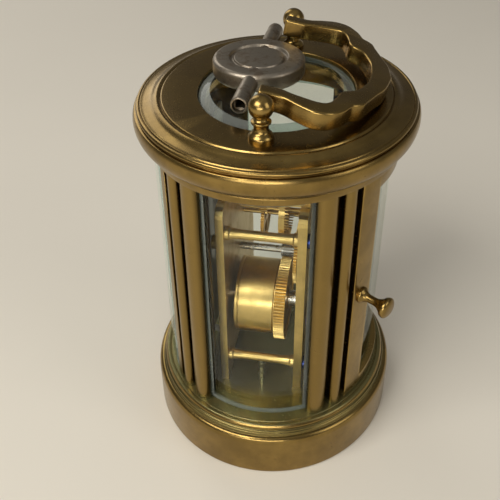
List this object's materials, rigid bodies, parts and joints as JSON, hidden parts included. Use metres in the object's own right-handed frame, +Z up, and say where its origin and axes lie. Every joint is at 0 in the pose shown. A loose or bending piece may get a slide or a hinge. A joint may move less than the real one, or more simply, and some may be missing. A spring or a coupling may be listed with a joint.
{
  "type": "mantel clock",
  "caption": "Miniature oval carriage clock: brass case with bowed glass panels, folding handle, hinged rear door and key-wound lever movement.",
  "frame": {"origin": "middle of the base's underside, on the surface the clock stands on", "axes": "+Z up, the dial faces -Y, the rear door faces +Y, +X is the right-hand side seen from the front"},
  "size_m": [0.0668, 0.0618, 0.097],
  "materials": {
    "case_brass": "old polished brass, browned in the grooves and worn bright on the edges",
    "movement_brass": "lacquered and gilt brass, fine grained",
    "steel": "polished steel arbors and screws",
    "key_steel": "dull grey-brown worn nickel on steel",
    "blued_steel": "heat-blued steel",
    "enamel": "glossy white vitreous enamel",
    "glass": "clear bevelled glass with a pale green edge"
  },
  "bodies": {
    "case": {"base": "case_brass", "cornice": "case_brass", "top_glass": "glass", "right_glass": "glass", "left_glass": "glass", "front_glass": "glass", "pilaster_rear_right": "case_brass", "pilaster_rear_left": "case_brass", "pilaster_front_right": "case_brass", "pilaster_front_left": "case_brass", "case_screw_rear_right": "steel", "case_screw_rear_left": "steel", "case_screw_front_right": "steel", "case_screw_front_left": "steel", "hinge_pin_lower": "steel", "hinge_pin_upper": "steel", "handle_post_right": "case_brass", "handle_post_left": "case_brass", "back_plate": "movement_brass", "front_plate": "movement_brass", "pillar_lower_right": "movement_brass", "pillar_lower_left": "movement_brass", "pillar_upper_right": "movement_brass", "pillar_upper_left": "movement_brass", "plate_screw_lower_right": "blued_steel", "plate_screw_lower_left": "blued_steel", "plate_screw_upper_right": "blued_steel", "plate_screw_upper_left": "blued_steel", "movement_screw_right": "steel", "movement_screw_left": "steel", "platform": "movement_brass", "escape_potence": "movement_brass", "escape_cock": "movement_brass", "balance_cock": "movement_brass", "hairspring": "blued_steel", "dial": "enamel"},
    "door": {"door_frame": "case_brass", "door_glass": "glass", "door_knob": "case_brass"},
    "handle": {"handle": "case_brass"},
    "key": {"winding_key": "key_steel"},
    "barrel": {"barrel": "movement_brass", "barrel_cover": "movement_brass", "mainspring": "blued_steel"},
    "winding_arbor": {"barrel_arbor": "steel", "ratchet_wheel": "steel"},
    "click": {"click": "steel", "click_spring": "blued_steel"},
    "centre": {"centre_arbor": "steel", "centre_wheel": "movement_brass", "cannon_pinion": "steel", "minute_hand": "blued_steel"},
    "minute_wheel": {"minute_wheel": "movement_brass"},
    "hour": {"hour_wheel": "movement_brass", "hour_hand": "blued_steel"},
    "third": {"third_wheel": "movement_brass"},
    "contrate": {"contrate_wheel": "movement_brass"},
    "escape": {"escape_wheel": "steel"},
    "lever": {"lever": "steel"},
    "balance": {"balance_wheel": "movement_brass"}
  },
  "joints": [
    {"name": "handle_fold", "type": "hinge", "parent": "case", "child": "handle", "pos_m": [0, 0.0004, 0.09456], "axis": [1, 0, 0], "range_deg": [0, 185]},
    {"name": "door_swing", "type": "hinge", "parent": "case", "child": "door", "pos_m": [-0.01698, 0.02028, 0.0467], "axis": [0, 0, 1], "range_deg": [0, 110]},
    {"name": "key_lift", "type": "slide", "parent": "case", "child": "key", "axis": [0, 0, 1], "range_m": [0, 0.06]},
    {"name": "minute_turn", "type": "hinge", "parent": "case", "child": "centre", "pos_m": [0, 0, 0.04479], "axis": [0, 1, 0], "continuous": true},
    {"name": "hour_turn", "type": "hinge", "parent": "case", "child": "hour", "pos_m": [0, 0, 0.04479], "axis": [0, 1, 0], "continuous": true},
    {"name": "minute_wheel_turn", "type": "hinge", "parent": "case", "child": "minute_wheel", "pos_m": [0, 0, 0.03879], "axis": [0, 1, 0], "continuous": true},
    {"name": "barrel_turn", "type": "hinge", "parent": "case", "child": "barrel", "pos_m": [0.006, 0, 0.0345], "axis": [0, 1, 0], "continuous": true},
    {"name": "third_turn", "type": "hinge", "parent": "case", "child": "third", "pos_m": [-0.00519, 0, 0.05189], "axis": [0, 1, 0], "continuous": true},
    {"name": "contrate_turn", "type": "hinge", "parent": "case", "child": "contrate", "pos_m": [0, 0, 0.05688], "axis": [0, 1, 0], "continuous": true},
    {"name": "escape_turn", "type": "hinge", "parent": "case", "child": "escape", "pos_m": [0, 0.00461, 0.07], "axis": [0, 0, 1], "continuous": true},
    {"name": "lever_rock", "type": "hinge", "parent": "case", "child": "lever", "pos_m": [0, 0.00071, 0.07], "axis": [0, 0, 1], "range_deg": [-5, 5]},
    {"name": "balance_swing", "type": "hinge", "parent": "case", "child": "balance", "pos_m": [0, -0.00359, 0.072], "axis": [0, 0, 1], "range_deg": [-270, 270], "stiffness_Nm_per_rad": 0.0000012},
    {"name": "winding_turn", "type": "hinge", "parent": "case", "child": "winding_arbor", "pos_m": [0.006, 0, 0.0345], "axis": [0, -1, 0], "range_deg": [0, 2520]},
    {"name": "click_lift", "type": "hinge", "parent": "case", "child": "click", "pos_m": [0.013, 0.01, 0.0361], "axis": [0, 1, 0], "range_deg": [0, 15], "stiffness_Nm_per_rad": 0.0001}
  ],
  "couplings": [
    {"joint": "hour_turn", "follows": "minute_turn", "ratio": 0.083333},
    {"joint": "minute_wheel_turn", "follows": "minute_turn", "ratio": -0.33333},
    {"joint": "barrel_turn", "follows": "minute_turn", "ratio": -0.16667},
    {"joint": "third_turn", "follows": "minute_turn", "ratio": -9},
    {"joint": "contrate_turn", "follows": "minute_turn", "ratio": 72},
    {"joint": "escape_turn", "follows": "minute_turn", "ratio": 600}
  ]
}
